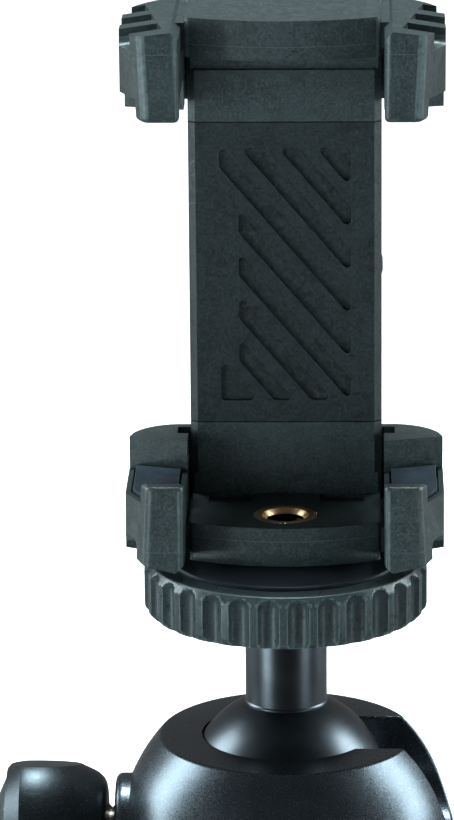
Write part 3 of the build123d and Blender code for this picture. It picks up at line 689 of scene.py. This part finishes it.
def close_tree(tree, geometry, entry, leave):
    """Ends a tree in real geometry with the piece's material."""
    real = linked(tree, "GeometryNodeRealizeInstances", {"Geometry": geometry})
    weld = linked(
        tree, "GeometryNodeMergeByDistance", {"Geometry": real.outputs[0], "Distance": WELD_GAP}
    )
    paint = linked(
        tree, "GeometryNodeSetMaterial",
        {"Geometry": weld.outputs[0], "Material": entry.outputs["Material"]},
    )
    tree.links.new(paint.outputs[0], leave.inputs[0])


def grown(name, tree, values, mesh=None):
    """Runs a tree on a mesh with named values and returns the plain mesh."""
    carrier = add_object(name, mesh or bpy.data.meshes.new(name))
    modifier = carrier.modifiers.new("grow", "NODES")
    modifier.node_group = tree
    for item in tree.interface.items_tree:
        if item.in_out == "INPUT" and item.name in values:
            modifier[item.identifier] = values[item.name]
    return applied(carrier)


print("trees can be made and run")


# %% The slice tree
def make_slice_tree():
    """Copies of a slice, turned evenly round Z."""
    tree, entry, leave = new_tree(
        "slices_round_axis", [("Count", "NodeSocketInt"), ("Material", "NodeSocketMaterial")]
    )
    places = linked(tree, "GeometryNodePoints", {"Count": entry.outputs["Count"]})
    number = add_node(tree, "GeometryNodeInputIndex")
    share = sum_of(tree, "DIVIDE", number.outputs[0], entry.outputs["Count"])
    turn = linked(tree, "ShaderNodeCombineXYZ", {"Z": sum_of(tree, "MULTIPLY", share, math.tau)})
    copies = linked(
        tree, "GeometryNodeInstanceOnPoints",
        {"Points": places.outputs[0], "Instance": entry.outputs["Geometry"],
         "Rotation": turn.outputs[0]},
    )
    close_tree(tree, copies.outputs[0], entry, leave)
    return tree


slice_tree = make_slice_tree()
print("tree:", slice_tree.name, len(slice_tree.nodes), "nodes")


# %% Drawing a slice
def cornered(points, closed=True, steps=3):
    """Section with rounded corners: points are (radius, height, corner, carved) in mm."""
    rows = []
    count = len(points)
    for i, (radius, height, corner, carved) in enumerate(points):
        here = Vector((radius, height))
        if not corner or (not closed and i in (0, count - 1)):
            rows.append((here, carved))
            continue
        ends = []
        for other in (points[i - 1], points[(i + 1) % count]):
            way = Vector(other[:2]) - here
            ends.append(here + way.normalized() * min(corner, way.length * 0.45))
        for k in range(steps + 1):
            t = k / steps
            spot = ends[0] * (1 - t) ** 2 + here * 2 * t * (1 - t) + ends[1] * t**2
            rows.append((spot, carved))
    return rows


def outward(mesh, place=None, sharp=35):
    """Turns the faces outwards, sets the mesh in place and shades it."""
    shape = bmesh.new()
    shape.from_mesh(mesh)
    bmesh.ops.dissolve_degenerate(shape, edges=shape.edges, dist=WELD_GAP / 2)
    bmesh.ops.recalc_face_normals(shape, faces=shape.faces)
    shape.to_mesh(mesh)
    shape.free()
    if place:
        mesh.transform(place)
    mesh.shade_smooth()
    mesh.set_sharp_from_angle(angle=math.radians(sharp))
    mark_edges(mesh)
    return mesh


def sliced(name, count, section, material, columns=2, carve=None, closed=True, place=None):
    """Whole turned piece from one slice; carve(angle, radius, height) bends the carved rows."""
    if isinstance(columns, int):
        columns = [(2 * k / (columns - 1) - 1) * 180 / count for k in range(columns)]
    rows = cornered(section, closed)
    shape = bmesh.new()
    grid = []
    for degrees in columns:
        a = math.radians(degrees)
        line = []
        for (radius, height), carved in rows:
            if carved and carve:
                radius, height = carve(a, radius, height)
            spot = Vector((radius * math.cos(a), radius * math.sin(a), height)) * MM
            line.append(shape.verts.new(spot))
        grid.append(line)
    for left, right in zip(grid, grid[1:]):
        for r in range(len(rows) if closed else len(rows) - 1):
            s = (r + 1) % len(rows)
            shape.faces.new((left[r], right[r], right[s], left[s]))
    mesh = bpy.data.meshes.new(name)
    shape.to_mesh(mesh)
    shape.free()
    whole = grown(name, slice_tree, {"Count": count, "Material": material}, mesh)
    return outward(whole, place)


print("slices can be drawn")


# %% Flutes and measures
def softly(a, b, blend):
    """The smaller of two numbers, with the crossing rounded over the blend."""
    near = max(blend - abs(a - b), 0) / blend
    return min(a, b) - near * near * blend / 4


def scallops(offset, radius, top=None, blend=0.12):
    """Carving of round flutes whose centre line is this far out; top ends them in an arch."""
    def carve(angle, reach, height):
        side = offset * math.sin(angle)
        over = max(0, height - top) if top is not None else 0
        depth = radius**2 - side**2 - over**2
        if depth <= 0:
            return reach, height
        return softly(reach, offset * math.cos(angle) - math.sqrt(depth), blend), height
    return carve


def span(node):
    """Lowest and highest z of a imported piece, in mm."""
    low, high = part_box(node)
    return low.z / MM, high.z / MM


def mirrored_columns(*degrees):
    """Columns at these angles and their mirror images, in order."""
    return [-d for d in reversed(degrees) if d] + list(degrees)


print("locking ring from and to, in mm:", [round(z, 2) for z in span("locking_ring")])

# %% [markdown]
# ## The locking ring
# Thirty scallops with arched tops run round the ring, and a plain rim stands above them.
# The disc lies in the ring's recess with a fine groove round it. A plain fluted wheel
# would need only a few rows. The arch needs many, so the rows lie close together where it
# curves, and far apart elsewhere.

# %% Locking ring
ring_low, ring_high = span("locking_ring")
disc_low, disc_high = span("platform_disc")
ring_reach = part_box("locking_ring")[1].x / MM
ring_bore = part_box("stem")[1].x / MM + 0.2
recess_reach, recess_floor = 16.05, disc_low - 0.05
thread_reach, thread_top = 3.225, ring_low + 1.95
arch = ring_high - 1.72
flute_offset, flute_radius = 0.3, 1.5
arch_rows = [(ring_reach, arch + rise, 0, True) for rise in (0, 0.2, 0.4)]
chamfer_rows = [
    (ring_reach - inset, ring_high - drop, 0, True)
    for inset, drop in ((0.02, 1.1), (0.18, 0.85), (0.34, 0.6), (0.5, 0.35))
]
ring_section = [
    (ring_bore, ring_low, 0.1, False), (ring_reach - 0.9, ring_low, 0.25, True),
    (ring_reach, ring_low + 0.9, 0.35, True), (ring_reach, arch - 1.6, 0, True),
    *arch_rows, *chamfer_rows, (ring_reach - 0.7, ring_high, 0.3, False),
    (recess_reach, ring_high, 0.18, False), (recess_reach, recess_floor, 0, False),
    (thread_reach, recess_floor, 0, False), (thread_reach, thread_top, 0, False),
    (ring_bore, thread_top, 0, False),
]
ring_columns = mirrored_columns(
    0, 0.55, 1.1, 1.6, 2.1, 2.6, 3.1, 3.6, 4.0, 4.3, 4.5, 4.7, 4.95, 5.4, 6
)
ring_mesh = sliced(
    "locking_ring_grip", 30, ring_section, grip_plastic, ring_columns,
    scallops(ring_reach + flute_offset, flute_radius, arch),
)
put_in(
    "locking_ring_grip", ring_mesh, grip_plastic, "charcoal_plastic", "locking_ring", "locking_ring"
)
print("ring faces:", len(ring_mesh.polygons))

# %% Disc
disc_bore, disc_reach = 3.375, 16
disc_section = [
    (disc_bore, disc_low, 0, False), (disc_reach, disc_low, 0.1, False),
    (disc_reach, disc_high, 0.45, False), (disc_bore, disc_high, 0.1, False),
]
disc_mesh = sliced("platform_disc_face", 96, disc_section, disc_rubber)
put_in(
    "platform_disc_face", disc_mesh, disc_rubber, "black_rubber", "platform_disc", "platform_disc"
)
print("disc faces:", len(disc_mesh.polygons))

# %% [markdown]
# ## Windings
# A spring is a wire along a helix, and a thread is a ridge along one. A screw modifier
# could turn a section round the axis, but it needs another profile for each radius and
# pitch. The tree draws a spiral curve and sweeps a small section along it: round for
# wire, square on its corner for a thread.

# %% The winding tree
WINDING_STEPS = 40


def make_winding_tree():
    """Helix of a given radius and height with a wire or ridge swept along it."""
    tree, entry, leave = new_tree(
        "winding",
        [
            ("Radius", "NodeSocketFloat"), ("Height", "NodeSocketFloat"),
            ("Turns", "NodeSocketFloat"), ("Wire", "NodeSocketFloat"),
            ("Sides", "NodeSocketInt"), ("Material", "NodeSocketMaterial"),
        ],
    )
    give = entry.outputs
    helix = linked(
        tree, "GeometryNodeCurveSpiral",
        {"Resolution": WINDING_STEPS, "Rotations": give["Turns"], "Start Radius": give["Radius"],
         "End Radius": give["Radius"], "Height": give["Height"]},
    )
    upright = linked(tree, "GeometryNodeSetCurveNormal", {"Curve": helix.outputs[0]}, mode="Z_UP")
    section = linked(
        tree, "GeometryNodeCurvePrimitiveCircle",
        {"Resolution": give["Sides"], "Radius": give["Wire"]},
    )
    swept = linked(
        tree, "GeometryNodeCurveToMesh",
        {"Curve": upright.outputs[0], "Profile Curve": section.outputs[0], "Fill Caps": True},
    )
    close_tree(tree, swept.outputs[0], entry, leave)
    return tree


winding_tree = make_winding_tree()
print("tree:", winding_tree.name, len(winding_tree.nodes), "nodes")


# %% Springs and threads
def winding(name, radius, height, turns, wire, sides, material, place):
    """Helix with its foot at the place's origin; sizes in mm."""
    values = {"Radius": radius * MM, "Height": height * MM, "Turns": float(turns),
              "Wire": wire * MM, "Sides": sides, "Material": material}
    return outward(grown(name, winding_tree, values), place, sharp=50)


def at(x, y, z):
    """Place given in mm."""
    return Matrix.Translation(Vector((x, y, z)) * MM)


def joined(name, *meshes):
    """One mesh out of several."""
    shape = bmesh.new()
    for mesh in meshes:
        shape.from_mesh(mesh)
    whole = bpy.data.meshes.new(name)
    shape.to_mesh(whole)
    shape.free()
    whole.set_sharp_from_angle(angle=math.radians(35))
    return whole


def threaded(name, core, crest, low, high, pitch, material, place):
    """Rod with a thread along Z that stops 0.6 of a pitch before each end."""
    rod = [
        (0, low, 0, False), (core, low, 0.2, False), (core, high, 0.2, False), (0, high, 0, False)
    ]
    foot = at(0, 0, low + pitch * 0.6)
    length = high - low - pitch * 1.2
    ridge, ridge_sides, rod_sides = crest - core, 4, 64
    return joined(
        name,
        sliced(name + "_core", rod_sides, rod, material, closed=False, place=place),
        winding(
            name + "_ridge", core, length, length / pitch, ridge, ridge_sides, material,
            place @ foot,
        ),
    )


print("springs and threads can be wound")

# %% [markdown]
# ## Threads, insert and springs
# The brass insert is knurled where the plastic grips it, and the quarter-inch thread shows
# in its mouth. A striped bump map could stand for a thread, but its outline would stay
# smooth, so the ridges are real. The two clamp springs stretch with the upper jaw, and
# each coil rides on neither of them.

# %% Insert
QUARTER_INCH_PITCH = 1.27
insert_low, insert_high = span("thread_insert")
insert_reach, insert_bore, insert_mouth, thread_wall = 4.37, 3.265, 2.62, 3.05


def knurl(angle, radius, height):
    """Shallow V grooves, one to a slice."""
    return radius - 0.24 * max(0, 1 - abs(math.degrees(angle)) / 2.6), height


insert_section = [
    (insert_bore, insert_low, 0, False), (insert_reach, insert_low, 0.1, True),
    (insert_reach, insert_high, 0.09, True), (3.25, insert_high, 0.06, False),
    (insert_mouth, insert_high - 0.65, 0.05, False),
    (insert_mouth, insert_high - 0.95, 0.05, False), (thread_wall, insert_high - 1.2, 0, False),
    (thread_wall, insert_low + 2.5, 0, False), (insert_bore, insert_low + 2.5, 0, False),
]
knurl_columns = mirrored_columns(0, 1.2, 2.6, 3.8, 5)
insert_mesh = joined(
    "thread_insert_brass",
    sliced("insert_body", 36, insert_section, insert_brass, knurl_columns, knurl),
    winding(
        "insert_thread", thread_wall, QUARTER_INCH_PITCH, 1, 0.4, 4, insert_brass,
        at(0, 0, insert_low + 2.9),
    ),
)
put_in("thread_insert_brass", insert_mesh, insert_brass, "brass", "clamp", "thread_insert")
print("insert faces:", len(insert_mesh.polygons))

# %% Stud and lock screw
LOCK_PITCH = 1.0
stud_low, stud_high = span("camera_screw")
stud_mesh = threaded(
    "camera_screw_thread", 2.6, 3.15, stud_low, stud_high, QUARTER_INCH_PITCH, bright_steel,
    Matrix(),
)
put_in("camera_screw_thread", stud_mesh, bright_steel, "steel", "stem", "camera_screw")

screw_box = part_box("lock_screw")
screw_axis = (screw_box[0].z + screw_box[1].z) / 2 / MM
sideways = at(0, 0, screw_axis) @ Matrix.Rotation(math.pi / 2, 4, "Y")
lock_mesh = threaded(
    "lock_screw_thread", 2.5, 2.98, screw_box[0].x / MM, screw_box[1].x / MM, LOCK_PITCH, steel,
    sideways,
)
put_in("lock_screw_thread", lock_mesh, steel, "steel", "lock_knob", "lock_screw")
print("stud from", round(stud_low, 2), "to", round(stud_high, 2))

# %% Clamp springs
coil_radius, coil_wire, coil_sides, coil_turns, coil_end = 1.25, 0.22, 8, 26, 0.25
for node in ("left_clamp_spring", "right_clamp_spring"):
    low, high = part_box(node)
    middle = (low + high) / 2 / MM
    length = (high.z - low.z) / MM - 2 * coil_end
    coil_place = at(middle.x, middle.y, low.z / MM + coil_end)
    coil = winding(
        node + "_coil", coil_radius, length, coil_turns, coil_wire, coil_sides, bright_steel,
        coil_place,
    )
    piece = put_in(node + "_coil", coil, bright_steel, "steel", None, node)
    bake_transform(piece)
    print(piece.name, "length in mm:", round(length, 2))


# %% Wave spring
def wave(angle, radius, height):
    """Lifts the ring's edge over one wave to a slice."""
    return radius, height + 0.7 * math.cos(3 * angle)


wave_low, wave_high = span("wave_spring")
wave_middle = (wave_low + wave_high) / 2
wave_inner, wave_outer, wave_half = 10.3, 15.7, 0.25
wave_section = [
    (reach, wave_middle + rise, 0.1, True)
    for reach, rise in (
        (wave_inner, -wave_half), (wave_outer, -wave_half),
        (wave_outer, wave_half), (wave_inner, wave_half),
    )
]
wave_mesh = sliced("wave_spring_ring", 3, wave_section, bright_steel, 33, wave)
put_in("wave_spring_ring", wave_mesh, bright_steel, "steel", "base", "wave_spring")
print("wave spring faces:", len(wave_mesh.polygons))

# %% [markdown]
# ## The cover screws and the lock wheel
# Two hexagon-socket screws close the covers from behind. The lobed wheel beside them
# clamps the upper jaw's rail. Booleans could sink the sockets and bite the lobes out of a
# disc. The slices do it by moving their points, which leaves even faces to shade.

# %% Cover screws
backwards = Matrix.Rotation(-math.pi / 2, 4, "X")
screw_low, screw_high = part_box("cover_screws")
screw_front, screw_back = screw_low.y / MM, screw_high.y / MM
shank_reach, head_reach, head_height, socket_reach = 1, 1.8, 0.9, 0.85


def hexagon(angle, radius, height):
    """Socket wall with six flat sides."""
    return radius / math.cos(angle), height


screw_section = [
    (0, screw_front, 0, False), (shank_reach, screw_front, 0.2, False),
    (shank_reach, screw_back - head_height, 0, False),
    (head_reach, screw_back - head_height, 0.05, False), (head_reach, screw_back, 0.25, False),
    (socket_reach, screw_back, 0.05, True), (socket_reach, screw_back - 0.7, 0, True),
    (0, screw_back - 0.8, 0, False),
]
heads = []
for height in (screw_low.z / MM + head_reach, screw_high.z / MM - head_reach):
    place = at(0, 0, height) @ backwards
    heads.append(sliced("screw", 6, screw_section, steel, 9, hexagon, closed=False, place=place))
screws_mesh = joined("cover_screws_sockets", *heads)
put_in("cover_screws_sockets", screws_mesh, steel, "steel", "clamp", "cover_screws")
print("screw faces:", len(screws_mesh.polygons))

# %% Lock wheel
wheel_low, wheel_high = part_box("lock_wheel")
wheel_middle = (wheel_low + wheel_high) / 2 / MM
wheel_bore, wheel_reach, wheel_thick, wheel_dish = 1.92, 9.5, 4, 3.45
first_lobe = Matrix.Rotation(math.radians(10), 4, "Z")
wheel_section = [
    (0, 3, 0, False), (wheel_bore, 3, 0, False), (wheel_bore, 0, 0.1, False),
    (wheel_reach, 0, 0.5, True), (wheel_reach, wheel_thick, 0.5, True),
    (7.4, wheel_thick, 0.2, False), (6.9, wheel_dish, 0.2, False), (2.6, wheel_dish, 0.2, False),
    (2.3, 3.8, 0.2, False), (0, 3.8, 0, False),
]
wheel_place = at(wheel_middle.x, wheel_low.y / MM, wheel_middle.z) @ backwards @ first_lobe
wheel_mesh = sliced(
    "lock_wheel_lobes", 18, wheel_section, grip_plastic, 17, scallops(wheel_reach + 0.35, 0.9),
    closed=False, place=wheel_place,
)
put_in("lock_wheel_lobes", wheel_mesh, grip_plastic, "charcoal_plastic", "lock_wheel", "lock_wheel")
print("wheel faces:", len(wheel_mesh.polygons))

# %% [markdown]
# ## The ball head
# The stem is a turned bar with a small flange where it meets the ball, so a slice of its
# profile gives all of it. The dome and the ball could be drawn again as spheres with holes
# cut in them. They come finely meshed from the frame with the true opening, and need only
# their finish. The knob has three flats, so it is a rounded copy.

# %% Stem
stem_low, stem_high = span("stem")
flange = stem_low + 9.3
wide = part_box("stem")[1].x / MM
neck, bar, stud_wall, stud_depth = 3, wide - 0.15, 3.2, 8
stem_section = [
    (0, stem_low, 0, False), (neck, stem_low, 0.3, False), (neck, flange, 0, False),
    (wide, flange, 0.05, False), (wide, flange + 0.25, 0.05, False), (bar, flange + 0.45, 0, False),
    (bar, stem_high, 0.35, False), (stud_wall, stem_high, 0.2, False),
    (stud_wall, stem_high - stud_depth, 0, False), (0, stem_high - stud_depth, 0, False),
]
stem_mesh = sliced("stem_bar", 128, stem_section, anodised, closed=False)
put_in("stem_bar", stem_mesh, anodised, "black_anodised", "stem", "stem")
print("stem from", round(stem_low, 2), "to", round(stem_high, 2))

# %% Ball, housing and knob
dress("lock_knob", knob_paint, "metal", width=0.35, sharp=22, segments=3)
dress("knob_cap", grip_plastic, "dome", width=0.15)
head_finishes = (
    ("ball", anodised), ("ball_housing", head_paint), ("ball_cup", inner_plastic),
    ("cup_seat", inner_plastic), ("base_plug", inner_plastic), ("thrust_pad", inner_plastic),
    ("lock_bush", brass), ("hub_stud", steel), ("lock_cam", bright_steel),
)
for node, material in head_finishes:
    repaint(node, material)
print("pieces that keep their mesh:", [node for node, material in head_finishes])

# %% [markdown]
# ## The hub and the legs
# A cast hub carries three legs. Each leg has a knuckle, a drawn tube, a fluted collar that
# locks the inner tube, and a rubber foot cut flat where it stands. One leg could be made
# and copied twice, but each of its pieces moves on a body of its own. So a loop dresses
# the three legs by name, and only the collars' place is worked out here.

# %% Hub and collars
dress("leg_hub", head_paint, "casting", width=0.4, sharp=25, segments=3)
dress("hub_bottom_cap", grip_plastic, "cover", width=0.3)
dress("friction_washer", disc_rubber, "ring", width=0.25)

leg_spread = math.radians(26)
pin_reach = 19
pivot_z = (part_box("back_leg_pin")[0].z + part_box("back_leg_pin")[1].z) / 2 / MM
collar_top, collar_length, tube_end = 77.0, 19.0, 88.0
collar_bottom = collar_top + collar_length
collar_reach, collar_bore, tube_bore = 9.2, 5.2, 7.05
collar_section = [
    (collar_bore, -collar_bottom, 0.15, False), (collar_reach, -collar_bottom, 0.6, True),
    (collar_reach, -collar_top, 0.6, True), (tube_bore, -collar_top, 0.2, False),
    (tube_bore, -tube_end - 0.05, 0, False), (collar_bore, -tube_end - 0.05, 0, False),
]


def grip_flutes(angle, radius, height):
    """Round flutes that run out before the collar's ends."""
    from_end = min(height + collar_bottom, -collar_top - height)
    fade = max(0.0, 0.9 - from_end)
    return scallops(collar_reach + 0.55 + fade * 0.35, 1.1)(angle, radius, height)


print("hinge pins at height, in mm:", round(pivot_z, 2))

# %% Legs
leg_turns = {"back": 90, "left": 210, "right": 330}
for name, turn in leg_turns.items():
    leg = (
        at(0, 0, pivot_z) @ Matrix.Rotation(math.radians(turn), 4, "Z") @ at(pin_reach, 0, 0)
        @ Matrix.Rotation(-leg_spread, 4, "Y")
    )
    collar = sliced(
        f"{name}_collar", 16, collar_section, grip_plastic, 15, grip_flutes, place=leg
    )
    node = f"{name}_twist_collar"
    put_in(node + "_grip", collar, grip_plastic, "charcoal_plastic", f"{name}_collar", node)
    dress(f"{name}_leg_head", head_paint, "casting", width=0.5, sharp=25, segments=3)
    dress(f"{name}_upper_tube", tube_anodised, "drawn", width=0.25)
    dress(f"{name}_lower_tube", tube_anodised, "drawn", width=0.2)
    dress(f"{name}_foot", foot_rubber, "shoe", width=0.6, segments=3)
    dress(f"{name}_leg_pin", steel, "rivet", width=0.35)
    repaint(f"{name}_glide_bush", inner_plastic)
    print(name, "leg dressed")
